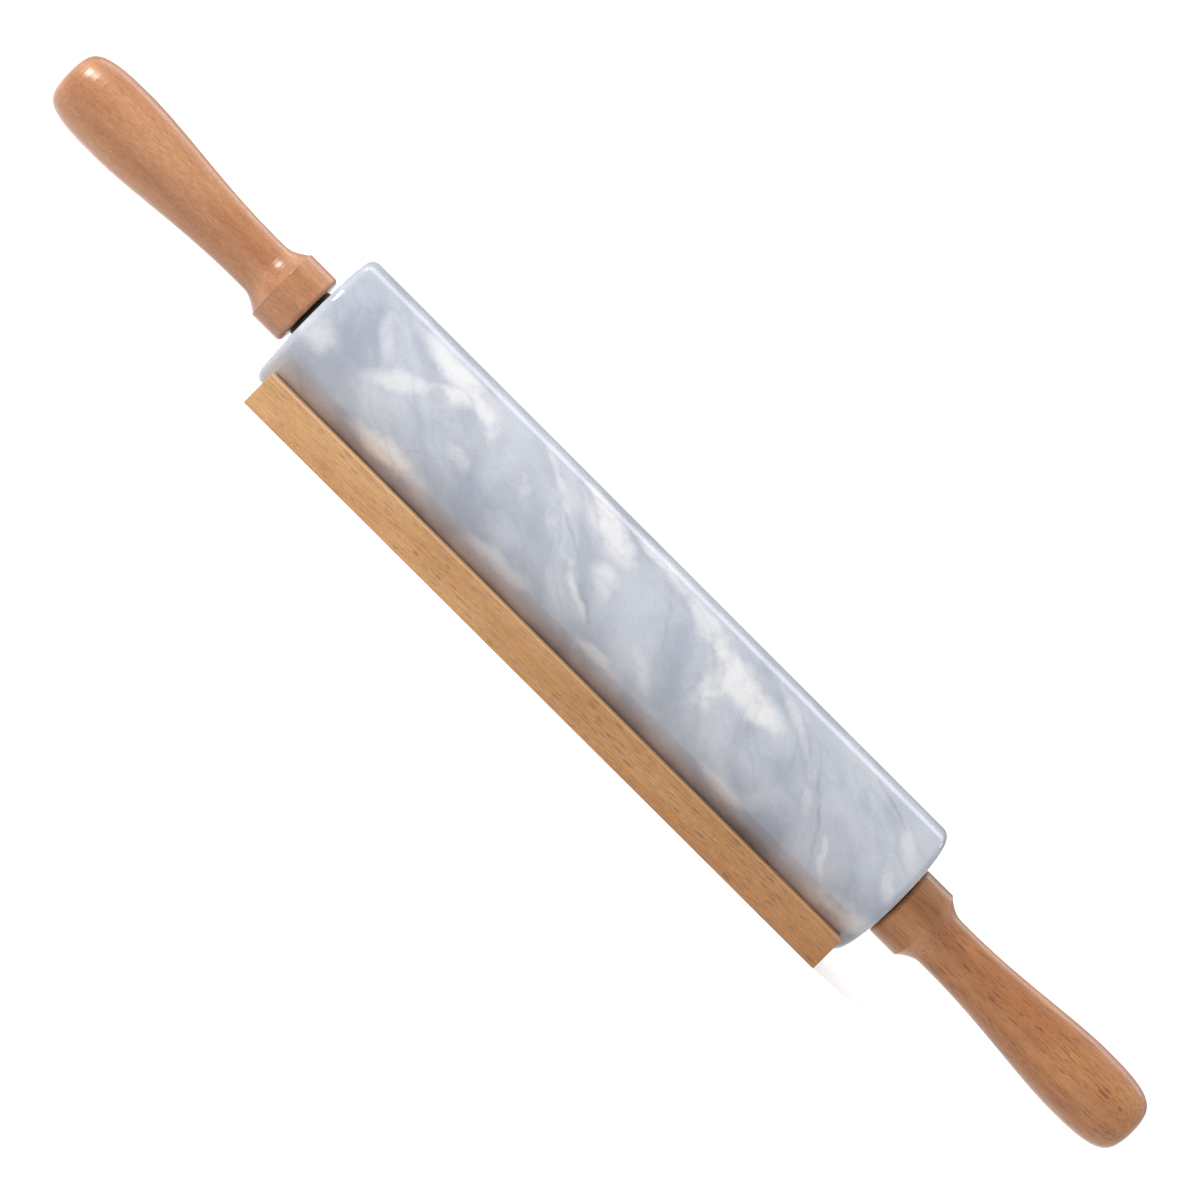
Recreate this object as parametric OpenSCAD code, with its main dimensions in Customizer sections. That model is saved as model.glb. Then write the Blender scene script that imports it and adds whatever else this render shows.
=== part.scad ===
// Marble rolling pin with turned beech handles, lying in its beech cradle.
// X runs along the pin, Y runs from the near rail to the far rail, Z is up.
// The origin is on the table, under the middle of the barrel.
// The barrel turns on a steel rod in two nylon bushes. The handles stay still.

/* [Barrel] */
// Diameter of the marble barrel
barrel_d = 51; // [46:0.5:60]
// Length of the marble barrel
barrel_l = 250; // [180:5:320]
// Radius of the rounded edge at each end of the barrel
barrel_edge_r = 3; // [1:0.5:6]
// Diameter of the hole drilled through the barrel
barrel_bore_d = 12; // [10.5:0.5:15]

/* [Axle rod] */
// Diameter of the steel rod inside the barrel
rod_d = 8; // [7:0.5:10]
// Diameter of the thread at each end of the rod
thread_d = 6; // [4:0.5:6.5]
// Thread that stands out past the insert
thread_spare = 1.5; // [0.5:0.5:4]
// Chamfer at the ends of the rod
rod_chamfer = 0.6; // [0.2:0.1:1]

/* [Bushes] */
// Length of the sleeve that is pressed into the barrel
bush_l = 20; // [10:1:40]
// Diameter of the flange that shows between handle and barrel
flange_d = 17; // [15.5:0.1:20]
// Thickness of the flange
flange_t = 2; // [1:0.1:3]
// Chamfer on the rim of the flange
flange_chamfer = 0.3; // [0.1:0.1:0.5]

/* [Handles] */
// Length of a handle from its tip to its base
handle_l = 101.8; // [90:0.2:130]
// Largest diameter of the grip
grip_d = 25.6; // [22:0.1:30]
// Distance from the tip to the thickest place of the grip
nose_l = 22; // [15:1:30]
// Flatness of the middle of the tip
tip_power = 2.9; // [2:0.1:4]
// Squareness of the shoulder round the tip
shoulder_power = 5; // [2:0.5:8]
// Diameter of the neck
neck_d = 18.2; // [16:0.1:21]
// Length of the straight stretch of the neck
neck_l = 3; // [1:0.5:10]
// Where the taper falls fastest, below 1 is nearer the grip
taper_bias = 0.85; // [0.6:0.05:1.4]
// Length of the hollow flare from the neck to the collar
flare_l = 7.2; // [4:0.1:12]
// Diameter of the collar
collar_d = 25.7; // [22:0.1:30]
// Length of the collar
collar_l = 11.8; // [6:0.2:16]
// Radius of the ridge where the flare meets the collar
ridge_r = 0.5; // [0.2:0.1:1]
// Angle at which the ridge takes over the slope of the flare
ridge_angle = 75; // [60:1:85]
// Radius of the edge at the base of the handle
base_r = 1.5; // [0.5:0.1:2.5]

/* [Fastenings in the handles] */
// Diameter of the washer against the shoulder of the rod
washer_d = 12; // [10.5:0.5:14]
// Thickness of the washer
washer_t = 1.6; // [0.8:0.1:2]
// Width of the lock nut across its flats
nut_w = 10; // [8.5:0.5:11]
// Height of the lock nut
nut_h = 5; // [3:0.5:6]
// Diameter of the threaded insert
insert_d = 10; // [8.5:0.5:12]
// Length of the threaded insert
insert_l = 15; // [8:1:25]
// Number of ribs that hold the insert in the wood
insert_ribs = 5; // [2:1:8]
// Depth of the grooves between the ribs
rib_h = 0.5; // [0.2:0.1:0.8]

/* [Cradle] */
// Free height under the barrel
barrel_lift = 5.5; // [5:0.1:9]
// How far the outer faces of the rails stand out past the barrel
rail_reach = 1.5; // [0:0.1:2.5]
// Height of the rails
rail_h = 12; // [10.5:0.1:14]
// Width of a rail at its foot
rail_w = 15; // [12:0.5:18]
// How far each end of the barrel reaches past the rails
rail_inset = 4.4; // [0:0.1:20]
// Slope of the seat that the barrel lies on
seat_angle = 40; // [32:1:44]
// Radius of the long edges and corners of the rails
rail_edge_r = 0.3; // [0.2:0.1:1]
// Width of a crossbar
crossbar_w = 20; // [14:1:30]
// Thickness of a crossbar
crossbar_t = 4; // [3:0.1:5]
// Distance from the end of the rails to the middle of a crossbar
crossbar_inset = 32; // [25:1:60]
// Wood left between a crossbar and the outer face of a rail
housing_wall = 3; // [2:0.5:4]

/* [Cradle screws] */
// Diameter of the thread of a screw
screw_d = 3; // [2.5:0.1:3.5]
// Diameter of the head of a screw
screw_head_d = 6; // [5.5:0.1:7]
// Height of the countersunk head
screw_head_h = 1.7; // [1.2:0.1:2]
// Length of a screw from the top of its head to its point
screw_l = 9; // [7:0.5:9.5]
// Distance from the outer face of a rail to the middle of a screw
screw_edge = 8; // [7:0.5:8.5]
// Width of the cross recess in the head
recess_w = 0.8; // [0.5:0.1:1]
// Depth of the cross recess in the head
recess_h = 1; // [0.5:0.1:1.1]

/* [Clearances] */
// Radial running clearance of the rod in a bush
run_clear = 0.05; // [0.02:0.01:0.1]
// Free play between a flange and the base of the handle
end_float = 0.2; // [0.1:0.05:0.5]
// Radial clearance round the washer and the nut in the handle
recess_clear = 0.5; // [0.3:0.1:0.8]
// Radial clearance of a hole round a thread that passes through it
thread_clear = 0.2; // [0.1:0.05:0.4]
// Free depth past the end of the rod in the handle
end_clear = 2; // [1:0.5:5]
// Gap between the barrel and its seats
seat_gap = 0.3; // [0.25:0.05:0.5]
// How deep a screw head lies below the underside of the crossbar
head_depth = 0.2; // [0.1:0.1:0.4]

/* [Hidden] */
$fn = 96;

left = -1;
right = 1;
cut = 1;
arc_steps = 6;
nose_steps = 16;
taper_steps = 20;
flare_steps = 6;

axis_z = barrel_lift + barrel_d / 2;
barrel_end = barrel_l / 2;
shoulder_x = barrel_end + flange_t + end_float;
nut_x = shoulder_x + washer_t;
insert_x = nut_x + nut_h;
insert_end = insert_x + insert_l;
rod_end = insert_end + thread_spare;
tip_x = shoulder_x + handle_l;
recess_d = max(washer_d, nut_w / cos(30)) + 2 * recess_clear;
through_d = thread_d + 2 * thread_clear;
taper_l = handle_l - nose_l - neck_l - flare_l - collar_l;
rail_l = barrel_l - 2 * rail_inset;
cradle_w = barrel_d + 2 * rail_reach;
crossbar_x = rail_l / 2 - crossbar_inset;
crossbar_l = cradle_w - 2 * housing_wall;
screw_y = cradle_w / 2 - screw_edge;

// Points of a quarter round about (r, x), from one angle to another
function arc_points(r, x, radius, from, to) = [
    for (k = [0:arc_steps]) let (a = from + (to - from) * k / arc_steps)
        [r + radius * cos(a), x + radius * sin(a)]
];

// A shape turned about the pin's axis, from points of radius and distance along X
module turned(points) {
    translate([0, 0, axis_z]) rotate([0, 90, 0]) rotate_extrude() polygon(points);
}

// One end of the pin, drawn for the right and mirrored for the left
module at_end(side) {
    mirror([side == left ? 1 : 0, 0, 0]) children();
}

// Marble, ground to a true cylinder and drilled from end to end
module marble_barrel() {
    edge_r = barrel_d / 2 - barrel_edge_r;
    edge_x = barrel_end - barrel_edge_r;
    color("gainsboro") turned(concat(
        [[barrel_bore_d / 2, -barrel_end]],
        arc_points(edge_r, -edge_x, barrel_edge_r, -90, 0),
        arc_points(edge_r, edge_x, barrel_edge_r, 0, 90),
        [[barrel_bore_d / 2, barrel_end]]
    ));
}

// Flanged nylon sleeve, pressed into the mouth of the bore
module bush(side) {
    bore_r = rod_d / 2 + run_clear;
    sleeve_r = barrel_bore_d / 2;
    flange_x = barrel_end + flange_t;
    color("black") at_end(side) turned([
        [bore_r, barrel_end - bush_l],
        [sleeve_r, barrel_end - bush_l],
        [sleeve_r, barrel_end],
        [flange_d / 2, barrel_end],
        [flange_d / 2, flange_x - flange_chamfer],
        [flange_d / 2 - flange_chamfer, flange_x],
        [bore_r, flange_x]
    ]);
}

// Steel rod with a shoulder and a thread at each end
module axle_rod() {
    color("silver") turned([
        [0, -rod_end],
        [thread_d / 2 - rod_chamfer, -rod_end],
        [thread_d / 2, rod_chamfer - rod_end],
        [thread_d / 2, -shoulder_x],
        [rod_d / 2, -shoulder_x],
        [rod_d / 2, shoulder_x],
        [thread_d / 2, shoulder_x],
        [thread_d / 2, rod_end - rod_chamfer],
        [thread_d / 2 - rod_chamfer, rod_end],
        [0, rod_end]
    ]);
}

// Outline of a handle from its tip to its base: nose, taper, neck, flare and collar
function nose_points() = [
    for (k = [0:nose_steps]) let (a = 90 * pow(k / nose_steps, 2))
        [grip_d / 2 * pow(sin(a), 2 / shoulder_power), tip_x - nose_l * (1 - pow(cos(a), 2 / tip_power))]
];
function taper_points() = [
    for (k = [1:taper_steps]) let (s = k / taper_steps)
        [(neck_d + (grip_d - neck_d) * (1 + cos(180 * pow(s, taper_bias))) / 2) / 2,
         tip_x - nose_l - s * taper_l]
];
function flare_points() = [
    for (k = [0:flare_steps]) let (s = k / flare_steps)
        [neck_d / 2 + (collar_d / 2 - ridge_r - neck_d / 2) * (1 - cos(90 * s)),
         shoulder_x + collar_l + flare_l * (1 - s)]
];
function collar_points() = concat(
    arc_points(collar_d / 2 - ridge_r, shoulder_x + collar_l - ridge_r, ridge_r, ridge_angle, 0),
    arc_points(collar_d / 2 - base_r, shoulder_x + base_r, base_r, 0, -90)
);

// Turned beech handle, bored from its base for the fastenings
module handle(side) {
    color("peru") at_end(side) difference() {
        turned(concat(nose_points(), taper_points(), flare_points(), collar_points(), [[0, shoulder_x]]));
        turned([
            [0, shoulder_x - cut],
            [recess_d / 2, shoulder_x - cut],
            [recess_d / 2, insert_x],
            [insert_d / 2, insert_x],
            [insert_d / 2, insert_end],
            [through_d / 2, insert_end],
            [through_d / 2, rod_end + end_clear],
            [0, rod_end + end_clear]
        ]);
    }
}

// Ribbed brass insert, driven into the handle and screwed on the rod
module insert(side) {
    rib_pitch = insert_l / (2 * insert_ribs - 1);
    color("goldenrod") at_end(side) difference() {
        turned([
            [thread_d / 2, insert_x],
            [insert_d / 2, insert_x],
            [insert_d / 2, insert_end],
            [thread_d / 2, insert_end]
        ]);
        for (k = [1:insert_ribs - 1]) {
            groove_x = insert_x + (2 * k - 1) * rib_pitch;
            turned([
                [insert_d / 2 - rib_h, groove_x],
                [insert_d / 2 + cut, groove_x],
                [insert_d / 2 + cut, groove_x + rib_pitch],
                [insert_d / 2 - rib_h, groove_x + rib_pitch]
            ]);
        }
    }
}

// Steel washers that lie on the shoulders of the rod
module end_washers() {
    for (side = [left, right])
        color("lightgray") at_end(side) turned([
            [through_d / 2, shoulder_x],
            [washer_d / 2, shoulder_x],
            [washer_d / 2, nut_x],
            [through_d / 2, nut_x]
        ]);
}

// Hexagon nuts that clamp the washers, with the corners chamfered
module lock_nuts() {
    corner_r = nut_w / 2 / cos(30);
    chamfer = corner_r - nut_w / 2;
    for (side = [left, right])
        color("silver") at_end(side) difference() {
            intersection() {
                translate([nut_x, 0, axis_z]) rotate([0, 90, 0]) cylinder(r = corner_r, h = nut_h, $fn = 6);
                turned([
                    [0, nut_x],
                    [nut_w / 2, nut_x],
                    [corner_r, nut_x + chamfer],
                    [corner_r, insert_x - chamfer],
                    [nut_w / 2, insert_x],
                    [0, insert_x]
                ]);
            }
            turned([
                [0, nut_x - cut],
                [thread_d / 2, nut_x - cut],
                [thread_d / 2, insert_x + cut],
                [0, insert_x + cut]
            ]);
        }
}

// A rectangle about its middle with rounded corners
module round_rectangle(w, h, r) {
    polygon(concat(
        arc_points(w / 2 - r, h / 2 - r, r, 0, 90),
        arc_points(r - w / 2, h / 2 - r, r, 90, 180),
        arc_points(r - w / 2, r - h / 2, r, 180, 270),
        arc_points(w / 2 - r, r - h / 2, r, 270, 360)
    ));
}

// Place of a screw in the middle of each joint of the cradle
module at_screws(bars, rails) {
    for (bar = bars, rail = rails) translate([bar * crossbar_x, rail * screw_y, 0]) children();
}

// Countersunk screw with its head down, which is also the hole that it cuts
module screw_shape() {
    rotate_extrude() polygon([
        [0, head_depth],
        [screw_head_d / 2, head_depth],
        [screw_d / 2, head_depth + screw_head_h],
        [screw_d / 2, head_depth + screw_l - screw_d],
        [0, head_depth + screw_l]
    ]);
}

// Beech rail: square bar with its inner top edge planed to the barrel's slope
module rail(side) {
    seat_r = barrel_d / 2 + seat_gap;
    foot_y = cradle_w / 2 - rail_w / 2;
    color("burlywood") mirror([0, side == left ? 1 : 0, 0]) difference() {
        intersection() {
            translate([-rail_l / 2, foot_y, rail_h / 2]) rotate([90, 0, 90])
                linear_extrude(rail_l) round_rectangle(rail_w, rail_h, rail_edge_r);
            translate([0, foot_y, rail_h / 2]) rotate([90, 0, 0])
                linear_extrude(rail_w + cut, center = true)
                    round_rectangle(rail_l, rail_h, rail_edge_r);
            translate([0, foot_y, 0])
                linear_extrude(rail_h) round_rectangle(rail_l, rail_w, rail_edge_r);
        }
        translate([0, 0, axis_z]) rotate([seat_angle, 0, 0])
            translate([-rail_l / 2 - cut, -cradle_w / 2, -seat_r]) cube([rail_l + 2 * cut, cradle_w, axis_z]);
        for (bar = [left, right])
            translate([bar * crossbar_x - crossbar_w / 2, 0, -cut])
                cube([crossbar_w, crossbar_l / 2, crossbar_t + cut]);
        at_screws([left, right], [right]) screw_shape();
    }
}

// Beech crossbar, let into the undersides of both rails
module crossbar(side) {
    color("tan") difference() {
        translate([side * crossbar_x - crossbar_w / 2, -crossbar_l / 2, 0])
            cube([crossbar_w, crossbar_l, crossbar_t]);
        at_screws([side], [left, right]) {
            translate([0, 0, -cut]) cylinder(d = screw_head_d, h = head_depth + cut);
            screw_shape();
        }
    }
}

// Countersunk steel screws, driven up through the crossbars into the rails
module cradle_screws() {
    color("gray") at_screws([left, right], [left, right]) difference() {
        screw_shape();
        for (turn = [0, 90])
            rotate([0, 0, turn]) translate([-screw_head_d / 3, -recess_w / 2, head_depth - cut])
                cube([screw_head_d * 2 / 3, recess_w, recess_h + cut]);
    }
}

marble_barrel();
bush(left);  // left_bush
bush(right);  // right_bush
axle_rod();
handle(left);  // left_handle
handle(right);  // right_handle
insert(left);  // left_insert
insert(right);  // right_insert
end_washers();
lock_nuts();
rail(left);  // near_rail
rail(right);  // far_rail
crossbar(left);  // left_crossbar
crossbar(right);  // right_crossbar
cradle_screws();
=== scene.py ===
import math

import bpy
from mathutils import Matrix, Vector


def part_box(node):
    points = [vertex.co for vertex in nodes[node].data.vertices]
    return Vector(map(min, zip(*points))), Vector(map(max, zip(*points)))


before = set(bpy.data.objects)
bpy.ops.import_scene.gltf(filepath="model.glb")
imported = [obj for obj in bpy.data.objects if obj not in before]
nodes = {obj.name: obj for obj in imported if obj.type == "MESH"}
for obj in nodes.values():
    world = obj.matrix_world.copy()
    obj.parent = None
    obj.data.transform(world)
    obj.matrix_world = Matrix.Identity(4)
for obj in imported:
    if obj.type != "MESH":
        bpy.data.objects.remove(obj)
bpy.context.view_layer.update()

# Camera. It stands level with the pin, a little to the left and above, and is
# turned about its own axis, so that the level pin runs down across the picture.
PIN_AXIS = (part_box("marble_barrel")[0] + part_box("marble_barrel")[1]) / 2
AIM = PIN_AXIS + Vector((-0.0023, 0, 0.0005))
CAMERA_DISTANCE = 1.236
CAMERA_AZIMUTH = math.radians(-2.6)
CAMERA_ELEVATION = math.radians(4)
CAMERA_ROLL = math.radians(45.11)
CAMERA_LENS = 121.2

back = Vector((
    math.sin(CAMERA_AZIMUTH) * math.cos(CAMERA_ELEVATION),
    -math.cos(CAMERA_AZIMUTH) * math.cos(CAMERA_ELEVATION),
    math.sin(CAMERA_ELEVATION),
))
camera = bpy.data.objects.new("camera", bpy.data.cameras.new("camera"))
camera.data.lens = CAMERA_LENS
camera.matrix_world = (
    Matrix.Translation(AIM + back * CAMERA_DISTANCE)
    @ back.to_track_quat("Z", "Y").to_matrix().to_4x4()
    @ Matrix.Rotation(CAMERA_ROLL, 4, "Z")
)
bpy.context.scene.collection.objects.link(camera)
bpy.context.scene.camera = camera
bpy.context.scene.view_settings.view_transform = "Standard"


# Studio. A soft lamp high on the left gives the round lights on the handles, and
# a long lamp above and behind draws the bright line along the top of the marble.
def facing(towards):
    """Turns a lamp or card to face the pin, with its long side along the pin."""
    across = Vector((1, 0, 0)) - towards * towards.x
    across.normalize()
    return Matrix((across, towards.cross(across), towards)).transposed().to_4x4()


def area_lamp(name, towards, distance, width, height, level):
    """A lamp aimed at the pin. At level 1, what faces it looks as bright as its colour is written."""
    towards = Vector(towards).normalized()
    data = bpy.data.lights.new(name, "AREA")
    data.shape = "RECTANGLE"
    data.size, data.size_y = width, height
    data.energy = level * math.pi**2 * distance**2
    lamp = bpy.data.objects.new(name, data)
    lamp.matrix_world = Matrix.Translation(PIN_AXIS + towards * distance) @ facing(towards)
    bpy.context.scene.collection.objects.link(lamp)


area_lamp("key_lamp", towards=(-0.745, -0.345, 0.571), distance=1.1, width=0.32, height=0.32, level=0.62)
area_lamp("back_lamp", towards=(0, 0.643, 0.766), distance=1.0, width=1.5, height=0.2, level=0.17)


def linear(hex_colour):
    """An sRGB colour such as "c08050" as the linear values that Blender works in."""
    parts = [int(hex_colour[k:k + 2], 16) / 255 for k in (0, 2, 4)]
    return [p / 12.92 if p <= 0.04045 else ((p + 0.055) / 1.055) ** 2.4 for p in parts] + [1]


def add(tree, kind, inputs=None, give=0, **settings):
    """Adds one node and gives back one of its outputs. Its inputs are values, or outputs to link."""
    node = tree.nodes.new("ShaderNode" + kind)
    for name, value in settings.items():
        setattr(node, name, value)
    for key, value in (inputs or {}).items():
        if isinstance(value, bpy.types.NodeSocket):
            tree.links.new(value, node.inputs[key])
        else:
            node.inputs[key].default_value = value
    return node if give is None else node.outputs[give]


def seen_as_backdrop(tree):
    """1 for what the camera, reflections and glass see directly, 0 for the light that falls on the object."""
    path = add(tree, "LightPath", give=None).outputs
    seen = add(tree, "Math", {0: path["Is Camera Ray"], 1: path["Is Glossy Ray"]}, operation="MAXIMUM")
    return add(tree, "Math", {0: seen, 1: path["Is Transmission Ray"]}, operation="MAXIMUM")


WHITE = (1, 1, 1, 1)
AMBIENT_LEVEL = 0.56
world = bpy.data.worlds.new("studio")
world.use_nodes = True
bpy.context.scene.world = world
tree = world.node_tree
tree.nodes.clear()
room_level = add(tree, "MapRange", {"Value": seen_as_backdrop(tree), "To Min": AMBIENT_LEVEL, "To Max": 1})
room = add(tree, "Background", {"Color": WHITE, "Strength": room_level})
add(tree, "OutputWorld", {"Surface": room}, None)


# Floor and card. A wide white table top lights the pin from below and keeps its shadow. A grey
# card above and behind, seen only in reflections, keeps the marble's upper edge darker than the room.
def stage_card(name, half_length, half_width, place, surface):
    """A flat piece of the studio, with the shader that surface adds to its material."""
    mesh = bpy.data.meshes.new(name)
    corners = [(x * half_length, y * half_width, 0) for x, y in ((-1, -1), (1, -1), (1, 1), (-1, 1))]
    mesh.from_pydata(corners, [], [(0, 1, 2, 3)])
    material = bpy.data.materials.new(name)
    material.use_nodes = True
    material.node_tree.nodes.clear()
    add(material.node_tree, "OutputMaterial", {"Surface": surface(material.node_tree)}, None)
    mesh.materials.append(material)
    card = bpy.data.objects.new(name, mesh)
    card.matrix_world = place
    bpy.context.scene.collection.objects.link(card)
    return card


# The floor lies a hair below the cradle, so that the two never share a plane.
FLOOR_HALF = 6.0
FLOOR_DROP = 0.0001
FLOOR_WHITE = linear("e6e6e6")
FLOOR_OWN_WHITE = 0.62


def white_paper(tree):
    """Pale paper. Part of the white that the camera sees is its own, so that it joins the white room."""
    own = add(tree, "Math", {0: seen_as_backdrop(tree), 1: FLOOR_OWN_WHITE}, operation="MULTIPLY")
    return add(tree, "AddShader", {0: add(tree, "BsdfDiffuse", {"Color": FLOOR_WHITE}),
                                   1: add(tree, "Emission", {"Color": WHITE, "Strength": own})})


stage_card("floor_white_paper", FLOOR_HALF, FLOOR_HALF, Matrix.Translation((0, 0, -FLOOR_DROP)), white_paper)

CARD_GREY = 0.45
CARD_DISTANCE = 0.9
CARD_ELEVATION = math.radians(20)
CARD_HALF_LENGTH, CARD_HALF_HEIGHT = 1.3, 0.25
card_side = Vector((0, math.cos(CARD_ELEVATION), math.sin(CARD_ELEVATION)))
grey_card = stage_card(
    "grey_card", CARD_HALF_LENGTH, CARD_HALF_HEIGHT,
    Matrix.Translation(PIN_AXIS + card_side * CARD_DISTANCE) @ facing(card_side),
    lambda tree: add(tree, "Emission", {"Color": WHITE, "Strength": CARD_GREY}))
grey_card.visible_camera = grey_card.visible_diffuse = False
grey_card.visible_shadow = grey_card.visible_transmission = False


# Marble barrel. A cylinder of bluish grey marble with white patches, drilled from end to
# end, ground true and polished. It carries the two bushes, and only they roll with it.
def finish_of(name):
    """A new material with a Principled shader, and the place on the object in millimetres."""
    material = bpy.data.materials.new(name)
    material.use_nodes = True
    tree = material.node_tree
    tree.nodes.clear()
    shader = add(tree, "BsdfPrincipled", give=None)
    add(tree, "OutputMaterial", {"Surface": shader.outputs[0]}, None)
    place = add(tree, "TexCoord", give="Object")
    mm = add(tree, "VectorMath", {0: place, "Scale": 1000}, operation="SCALE")
    return material, tree, shader.inputs, mm


def wear(material, *names):
    """Gives CAD nodes a material."""
    for name in names:
        nodes[name].data.materials.clear()
        nodes[name].data.materials.append(material)


# Sockets of a Mix node for colours: the share of the upper colour, the two colours, the result.
SHARE, UNDER, OVER, MIXED = 0, 6, 7, 2
LAY = {"give": MIXED, "data_type": "RGBA"}
SHADE = {"give": MIXED, "data_type": "RGBA", "blend_type": "MULTIPLY"}
SOFT = {"interpolation_type": "SMOOTHSTEP"}
# The range that a noise mostly keeps to, for a Map Range node.
SPREAD = {"From Min": 0.3, "From Max": 0.7}


def lumps(tree, place, size, slant=0, shift=(0, 0, 0), detail=2, roughness=0.5):
    """Random lumps of the given size in millimetres, whose long side slants down to the right."""
    turned = add(tree, "Mapping", {"Vector": place, "Location": shift, "Scale": size,
                                   "Rotation": (0, math.radians(slant), 0)}, vector_type="TEXTURE")
    return add(tree, "TexNoise", {"Vector": turned, "Scale": 1, "Detail": detail, "Roughness": roughness})


def swirled(tree, place, where, size, reach):
    """Bends a pattern softly: the size of the swirls and how far they reach, in millimetres."""
    push = add(tree, "TexNoise", {"Vector": where, "Scale": 1 / size, "Detail": 1}, "Color")
    push = add(tree, "VectorMath", {0: push, 1: (0.5, 0.5, 0.5)}, operation="SUBTRACT")
    push = add(tree, "VectorMath", {0: push, "Scale": reach}, operation="SCALE")
    return add(tree, "VectorMath", {0: place, 1: push}, operation="ADD")


PATCH_FADE = 1.5


def placed_patches(tree, place, rows, core):
    """The strongest of several ovals, each full in its core and gone at PATCH_FADE times its half sizes."""
    total = 0
    for x, up, half_length, half_width, slant, strength in rows:
        turn = (0, 0, math.radians(slant))
        oval = add(tree, "Mapping", {"Vector": place, "Location": (x, up, 0), "Rotation": turn,
                                     "Scale": (half_length, half_width, 1)}, vector_type="TEXTURE")
        reach = add(tree, "VectorMath", {0: oval}, "Value", operation="LENGTH")
        tone = add(tree, "MapRange", {"Value": reach, "From Min": PATCH_FADE, "From Max": core,
                                      "To Max": strength}, **SOFT)
        total = add(tree, "Math", {0: total, 1: tone}, operation="MAXIMUM")
    return total


BARREL_R = (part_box("marble_barrel")[1].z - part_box("marble_barrel")[0].z) / 2 * 1000
MARBLE_SLANT = 38
MARBLE_DEEP = linear("abb2c1")
MARBLE_GREY = linear("ced3dd")
MARBLE_WHITE = linear("f2f1f3")
MARBLE_VEIN = linear("8d93a2")
MARBLE_SMUDGE = linear("6d6661")
MARBLE_IOR = 1.5
# Sizes in the stone are millimetres along its slant and across it.
CLOUD_SIZE, STREWN_SIZE, STREWN_SHIFT = (34, 20, 17), (36, 24, 20), (140, 60, 20)
THINNING_SIZE, NET_SIZE, CRYSTAL_SIZE = (9, 6, 5), (70, 40, 30), (0.8, 0.8, 0.8)
WHITE_CORE, DARK_CORE = 0.45, 0.1
WHITE_THINNEST, NET_STRENGTH = 0.86, 0.11
# Each row places one patch on the side that the photograph shows: millimetres along the pin,
# millimetres up round the barrel, half its length, half its width, its slant in degrees, its strength.
WHITE_PATCHES = [
    (-80, 23, 17, 5, -10, 0.95), (-67, 19, 9, 4, -35, 0.85), (-79, 14, 10, 4, 33, 0.85),
    (-92, 5.5, 10, 3.4, 38, 0.75), (-80, -12.5, 13, 4, 0, 0.95), (-16, 22, 14, 6.5, -25, 0.95),
    (-37, 21, 12, 1.8, -37, 0.6), (-17, 2.5, 15, 1.8, -27, 0.8), (-63, 2, 4, 3, 0, 0.45),
    (-45, 11, 5, 2.6, -50, 0.5), (-33, -12.5, 13, 3, 4, 0.5), (-119, -1, 7, 5, 0, 0.6),
    (-104, 14, 9, 2.6, -50, 0.4), (-6, 7, 7, 4, -35, 0.8), (32, 18.5, 12, 5, -32, 1),
    (42, 14.8, 13, 7.5, -14, 1), (54, 13.5, 9, 5.5, -8, 1), (40, 8, 9, 6, 68, 1),
    (24, 24, 12, 3.8, -20, 0.8), (5, 27, 14, 3, -8, 0.7), (66, 20, 12, 2.2, -38, 0.45),
    (80, 8, 12, 1.6, -52, 0.4), (98, -4, 9, 1.3, -50, 0.6), (113, 18, 8, 2.4, -45, 0.5),
    (118, 3, 6, 2, -50, 0.5), (114, -15, 12, 5, 14, 0.8), (62, -13, 10, 2.2, -4, 0.55),
    (7, -12, 12, 2.4, 0, 0.5), (20, -4, 9, 2, -25, 0.35),
]
DARK_VEINS = [
    (88, 3, 16, 0.8, -52, 0.45), (-8, -1, 9, 0.9, -28, 0.4), (-70, -3, 9, 0.7, 30, 0.25),
    (72, 17, 16, 0.8, -38, 0.25), (16, 12, 12, 0.8, -55, 0.15), (104, 24, 11, 1, -25, 0.4),
    (-26, 24, 12, 1.6, -32, 0.35), (-24, 11, 10, 0.9, -30, 0.3),
]
DARK_SMUDGES = [
    (76, -19, 12, 2.4, 0, 0.4), (85, -22, 2.6, 0.7, 10, 0.9), (89, -21.6, 1.4, 0.8, -20, 0.9),
]

marble, tree, surface, mm = finish_of("polished_marble")
parts = add(tree, "SeparateXYZ", {0: mm}, None).outputs
height = add(tree, "Math", {0: parts["Z"], 1: PIN_AXIS.z * 1000}, operation="SUBTRACT")
nearness = add(tree, "Math", {0: parts["Y"], 1: -1}, operation="MULTIPLY")
angle = add(tree, "Math", {0: height, 1: nearness}, operation="ARCTAN2")
around = add(tree, "Math", {0: angle, 1: BARREL_R}, operation="MULTIPLY")
unrolled = add(tree, "CombineXYZ", {"X": parts["X"], "Y": around})

# Clouds of about 20 mm, mottled down to 1 mm, drawn out along the slant of the stone.
bent = swirled(tree, mm, mm, size=30, reach=18)
clouds = lumps(tree, bent, CLOUD_SIZE, MARBLE_SLANT, detail=5, roughness=0.52)
clouds = add(tree, "MapRange", {"Value": clouds, "From Min": 0.29, "From Max": 0.68}, **SOFT)
body = add(tree, "Mix", {SHARE: clouds, UNDER: MARBLE_DEEP, OVER: MARBLE_GREY}, **LAY)

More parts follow.
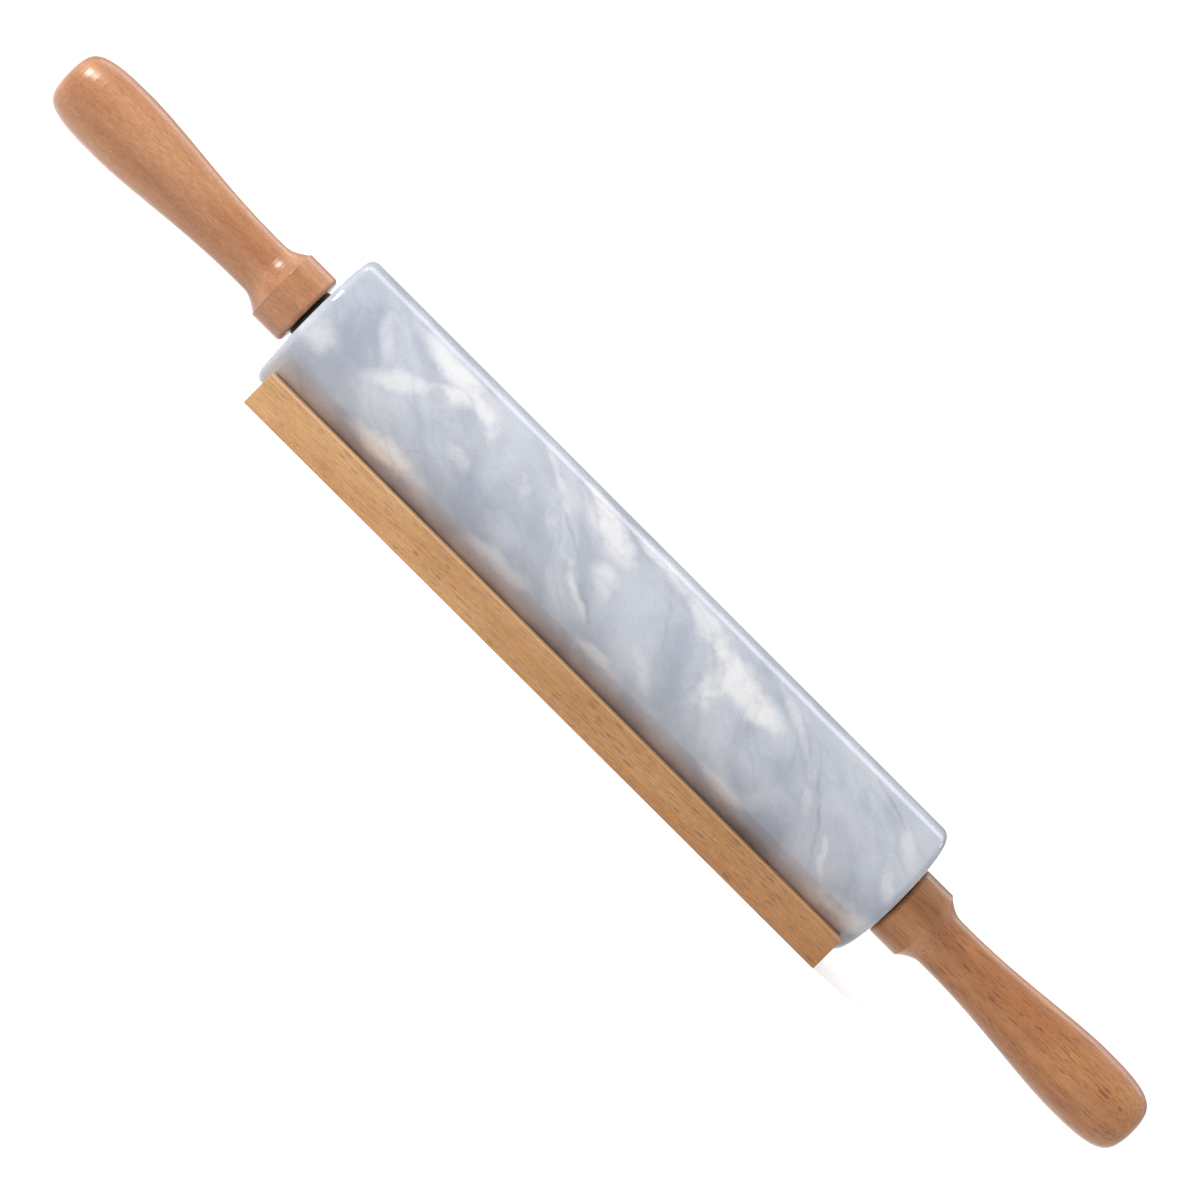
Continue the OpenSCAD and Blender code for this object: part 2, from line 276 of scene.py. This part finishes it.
# White patches: those of the near side one by one, and round the back from a noise.
behind = add(tree, "MapRange", {"Value": parts["Y"], "From Min": -8, "From Max": 12, "To Min": 0.15}, **SOFT)
strewn = lumps(tree, bent, STREWN_SIZE, MARBLE_SLANT, STREWN_SHIFT, detail=5, roughness=0.55)
strewn = add(tree, "MapRange", {"Value": strewn, "From Min": 0.5, "From Max": 0.66}, **SOFT)
strewn = add(tree, "Math", {0: strewn, 1: behind}, operation="MULTIPLY")
feathered = swirled(tree, unrolled, mm, size=16, reach=5)
feathered = swirled(tree, feathered, mm, size=4, reach=1.6)
placed = placed_patches(tree, feathered, WHITE_PATCHES, WHITE_CORE)
white = add(tree, "Math", {0: placed, 1: strewn}, operation="MAXIMUM")
thinning = lumps(tree, bent, THINNING_SIZE, MARBLE_SLANT, detail=3)
thinning = add(tree, "MapRange", {"Value": thinning, "From Min": 0.3, "From Max": 0.6,
                                  "To Min": WHITE_THINNEST}, **SOFT)
white = add(tree, "Math", {0: white, 1: thinning}, operation="MULTIPLY")
body = add(tree, "Mix", {SHARE: white, UNDER: body, OVER: MARBLE_WHITE}, **LAY)

# Grey veins under 1 mm wide: a few seen ones, and a faint net through the whole stone.
net = lumps(tree, bent, NET_SIZE, MARBLE_SLANT, detail=3)
net = add(tree, "Math", {0: net, 1: 0.5}, operation="SUBTRACT")
net = add(tree, "Math", {0: net}, operation="ABSOLUTE")
net = add(tree, "MapRange", {"Value": net, "From Min": 0.02, "From Max": 0, "To Max": NET_STRENGTH}, **SOFT)
body = add(tree, "Mix", {SHARE: net, UNDER: body, OVER: MARBLE_VEIN}, **LAY)
veins = placed_patches(tree, swirled(tree, unrolled, mm, size=9, reach=5), DARK_VEINS, DARK_CORE)
body = add(tree, "Mix", {SHARE: veins, UNDER: body, OVER: MARBLE_VEIN}, **LAY)
smudges = placed_patches(tree, swirled(tree, unrolled, mm, size=3, reach=2), DARK_SMUDGES, DARK_CORE)
body = add(tree, "Mix", {SHARE: smudges, UNDER: body, OVER: MARBLE_SMUDGE}, **LAY)

# Crystals of about 0.8 mm give the polished face a faint sugary grain under a mirror gloss.
crystals = add(tree, "MapRange", {"Value": lumps(tree, mm, CRYSTAL_SIZE),
                                  "From Min": 0.25, "From Max": 0.75, "To Min": 0.95, "To Max": 1.05})
tree.links.new(add(tree, "Mix", {SHARE: 1, UNDER: body, OVER: crystals}, **SHADE), surface["Base Color"])
gloss = add(tree, "MapRange", {"Value": clouds, "To Min": 0.09, "To Max": 0.05})
tree.links.new(gloss, surface["Roughness"])
surface["IOR"].default_value = MARBLE_IOR
wear(marble, "marble_barrel")


# Handles. Beech turned on a lathe, sanded and lacquered. They were cut from different
# planks: the left one is pinker with short flecks, the right one browner with long pores.
# Sizes in the wood are millimetres along the grain and across it.
GRAIN_SLANT = -2
BROAD_SIZE, PORE_WIDTH, CROWDING_SIZE = (45, 7, 7), 0.36, (40, 9, 9)
FIBRE_WIDTH, FIBRE_TONES = 0.5, (0.85, 1.13)
FLECK_SIZE, FLECK_TONES = (1.4, 0.6, 0.6), (0.93, 1.07)
WOOD_ROUGHNESS, WOOD_SPECULAR = 0.45, 0.25
LACQUER_WEIGHT, LACQUER_ROUGHNESS = 0.8, 0.24


def beech(name, pale, deep, pore, fibre_length, pore_length, pore_share, shift, turn=0):
    """Beech: broad tone, fibres, fine flecks, and pores that show as short dark dashes along the grain."""
    material, tree, surface, mm = finish_of(name)
    wood = add(tree, "Mapping", {"Vector": mm, "Location": shift, "Rotation": (0, 0, math.radians(turn))})
    broad = lumps(tree, wood, BROAD_SIZE, GRAIN_SLANT, detail=3)
    broad = add(tree, "MapRange", {"Value": broad, **SPREAD}, **SOFT)
    colour = add(tree, "Mix", {SHARE: broad, UNDER: deep, OVER: pale}, **LAY)
    fibre_size = (fibre_length, FIBRE_WIDTH, FIBRE_WIDTH)
    for size, (low, high) in ((fibre_size, FIBRE_TONES), (FLECK_SIZE, FLECK_TONES)):
        tone = lumps(tree, wood, size, GRAIN_SLANT, detail=3, roughness=0.6)
        tone = add(tree, "MapRange", {"Value": tone, "From Min": 0.28, "From Max": 0.72,
                                      "To Min": low, "To Max": high}, **SOFT)
        colour = add(tree, "Mix", {SHARE: 1, UNDER: colour, OVER: tone}, **SHADE)
    pores = lumps(tree, wood, (pore_length, PORE_WIDTH, PORE_WIDTH), GRAIN_SLANT, detail=0)
    crowding = lumps(tree, wood, CROWDING_SIZE, GRAIN_SLANT)
    crowding = add(tree, "MapRange", {"Value": crowding, "From Min": 0.35, "From Max": 0.65,
                                      "To Min": -0.07, "To Max": 0.04}, **SOFT)
    pores = add(tree, "Math", {0: pores, 1: crowding}, operation="ADD")
    pores = add(tree, "MapRange", {"Value": pores, "From Min": 0.62, "From Max": 0.72,
                                   "To Max": pore_share}, **SOFT)
    return material, tree, surface, mm, add(tree, "Mix", {SHARE: pores, UNDER: colour, OVER: pore}, **LAY)


def lacquered_beech(**look):
    """Beech under a satin lacquer, which softens the lights and lets the fibres show."""
    material, tree, surface, _, colour = beech(**look)
    tree.links.new(colour, surface["Base Color"])
    surface["Roughness"].default_value = WOOD_ROUGHNESS
    surface["Specular IOR Level"].default_value = WOOD_SPECULAR
    surface["Coat Weight"].default_value = LACQUER_WEIGHT
    surface["Coat Roughness"].default_value = LACQUER_ROUGHNESS
    return material


wear(lacquered_beech(name="lacquered_pink_beech", pale=linear("c58c61"), deep=linear("ae7045"),
                     pore=linear("86502e"), fibre_length=3, pore_length=2, pore_share=0.2,
                     shift=(0, 0, 0)), "left_handle")
wear(lacquered_beech(name="lacquered_brown_beech", pale=linear("cf8d55"), deep=linear("b16e3b"),
                     pore=linear("6b3310"), fibre_length=10, pore_length=7, pore_share=0.65,
                     shift=(300, 11, 27)), "right_handle")

# Bushes. Flanged sleeves of moulded black nylon, pressed into the mouths of the bore.
# Their flanges keep the barrel off the handles. The fine grain is that of the mould.
NYLON_BLACK = linear("0a0a0c")
NYLON_SPECULAR = 0.3
MOULD_GRAIN_SIZE = (0.4, 0.4, 0.4)

nylon, tree, surface, mm = finish_of("moulded_black_nylon")
surface["Base Color"].default_value = NYLON_BLACK
surface["Specular IOR Level"].default_value = NYLON_SPECULAR
mould_grain = add(tree, "MapRange", {"Value": lumps(tree, mm, MOULD_GRAIN_SIZE), **SPREAD,
                                     "To Min": 0.4, "To Max": 0.55})
tree.links.new(mould_grain, surface["Roughness"])
wear(nylon, "left_bush", "right_bush")


# Axle rod. Bright drawn steel with a shoulder and a thread at each end. It stays still
# with the handles while the barrel turns on it. Drawing leaves fine lines along the rod.
def bare_metal(name, dark, light, streak, low, high):
    """Bare metal. Fine streaks of the given size change its tone, and its roughness from low to high."""
    material, tree, surface, mm = finish_of(name)
    streaks = lumps(tree, mm, streak, detail=3)
    tone = add(tree, "MapRange", {"Value": streaks, **SPREAD})
    tree.links.new(add(tree, "Mix", {SHARE: tone, UNDER: dark, OVER: light}, **LAY), surface["Base Color"])
    gloss = add(tree, "MapRange", {"Value": streaks, **SPREAD, "To Min": low, "To Max": high})
    tree.links.new(gloss, surface["Roughness"])
    surface["Metallic"].default_value = 1
    return material


wear(bare_metal("bright_drawn_steel", linear("b8b9ba"), linear("c6c7c8"),
                streak=(12, 0.2, 0.2), low=0.2, high=0.32), "axle_rod")

# Washers, lock nuts and cradle screws. Zinc plated steel: the washers and nuts are clamped
# against the shoulders of the rod, and the screws hold the cradle together from below.
# Zinc is duller than the rod and a little blue, with a fine cloudy spangle.
wear(bare_metal("zinc_plated_steel", linear("a6abb1"), linear("bcc1c6"),
                streak=(0.7, 0.7, 0.7), low=0.32, high=0.45), "end_washers", "lock_nuts", "cradle_screws")

# Inserts. Turned brass with ribs outside and a thread inside, driven into the handles and
# screwed on the rod against the nuts. The tool leaves fine rings round the insert.
wear(bare_metal("turned_brass", linear("c9a05a"), linear("d9b46c"),
                streak=(0.15, 4, 4), low=0.18, high=0.3), "left_insert", "right_insert")

# Rails. Beech bars with the inner top edge planed to a seat for the barrel. They are only
# oiled, so they are paler and duller than the handles. Their colour is made darker to the
# right, and a pale highlight is painted along the outer top edges.
RAIL_PALE, RAIL_DEEP, RAIL_PORE = linear("eab988"), linear("dba976"), linear("96683f")
RAIL_FIBRE, RAIL_PORE_LENGTH, RAIL_PORE_SHARE = 12, 5, 0.5
RAIL_DARKENED = linear("d1bfad")
# The colour of the painted highlight along the outer top edges.
RAIL_EDGE_HIGHLIGHT = linear("f6dcc0")
RAIL_ROUGHNESS, RAIL_SPECULAR = 0.5, 0.35
# In millimetres: half the length over which the colour darkens, the height of the rails' top and the
# distance of their outer faces from the middle, and where the painted edge highlight starts and is
# palest, below the top and in from the outer face.
DARKENING_HALF = 150
RAIL_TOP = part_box("near_rail")[1].z * 1000
RAIL_FACE = -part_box("near_rail")[0].y * 1000
HIGHLIGHT_BELOW_TOP, PALEST_BELOW_TOP = 0.6, 0.2
HIGHLIGHT_FROM_FACE, PALEST_FROM_FACE = 1.2, 0.6
# The share of the painted highlight where it is palest.
EDGE_HIGHLIGHT_SHARE = 0.6


def oiled_beech(name, shift, turn=0):
    """Bare oiled beech: matt, with a painted highlight half a millimetre wide along the rails' outer top
    edges.
    """
    material, tree, surface, mm, colour = beech(name, RAIL_PALE, RAIL_DEEP, RAIL_PORE, RAIL_FIBRE,
                                                RAIL_PORE_LENGTH, RAIL_PORE_SHARE, shift, turn)
    place = add(tree, "SeparateXYZ", {0: mm}, None).outputs
    # The colour is made darker towards the right end of each bar.
    along = add(tree, "MapRange", {"Value": place["X"], "From Min": -DARKENING_HALF,
                                   "From Max": DARKENING_HALF})
    tint = add(tree, "Mix", {SHARE: along, UNDER: WHITE, OVER: RAIL_DARKENED}, **LAY)
    from_middle = add(tree, "Math", {0: place["Y"]}, operation="ABSOLUTE")
    upper = add(tree, "MapRange", {"Value": place["Z"], "From Min": RAIL_TOP - HIGHLIGHT_BELOW_TOP,
                                   "From Max": RAIL_TOP - PALEST_BELOW_TOP}, **SOFT)
    outer = add(tree, "MapRange", {"Value": from_middle, "From Min": RAIL_FACE - HIGHLIGHT_FROM_FACE,
                                   "From Max": RAIL_FACE - PALEST_FROM_FACE}, **SOFT)
    # Painted highlight: the outer top arris is drawn paler, as if lit, in a band about half a millimetre
    # wide.
    edge_highlight = add(tree, "Math", {0: upper, 1: outer}, operation="MULTIPLY")
    edge_highlight = add(tree, "Math", {0: edge_highlight, 1: EDGE_HIGHLIGHT_SHARE}, operation="MULTIPLY")
    colour = add(tree, "Mix", {SHARE: edge_highlight, UNDER: colour, OVER: RAIL_EDGE_HIGHLIGHT}, **LAY)
    tree.links.new(add(tree, "Mix", {SHARE: 1, UNDER: colour, OVER: tint}, **SHADE), surface["Base Color"])
    surface["Roughness"].default_value = RAIL_ROUGHNESS
    surface["Specular IOR Level"].default_value = RAIL_SPECULAR
    return material


wear(oiled_beech("oiled_beech", shift=(50, 31, 3)), "near_rail", "far_rail")

# Crossbars. Thin slats of the same oiled beech, let into stopped housings under the
# rails. Their grain runs across the cradle, from rail to rail.
wear(oiled_beech("oiled_beech_slat", shift=(20, 5, 40), turn=90), "left_crossbar", "right_crossbar")
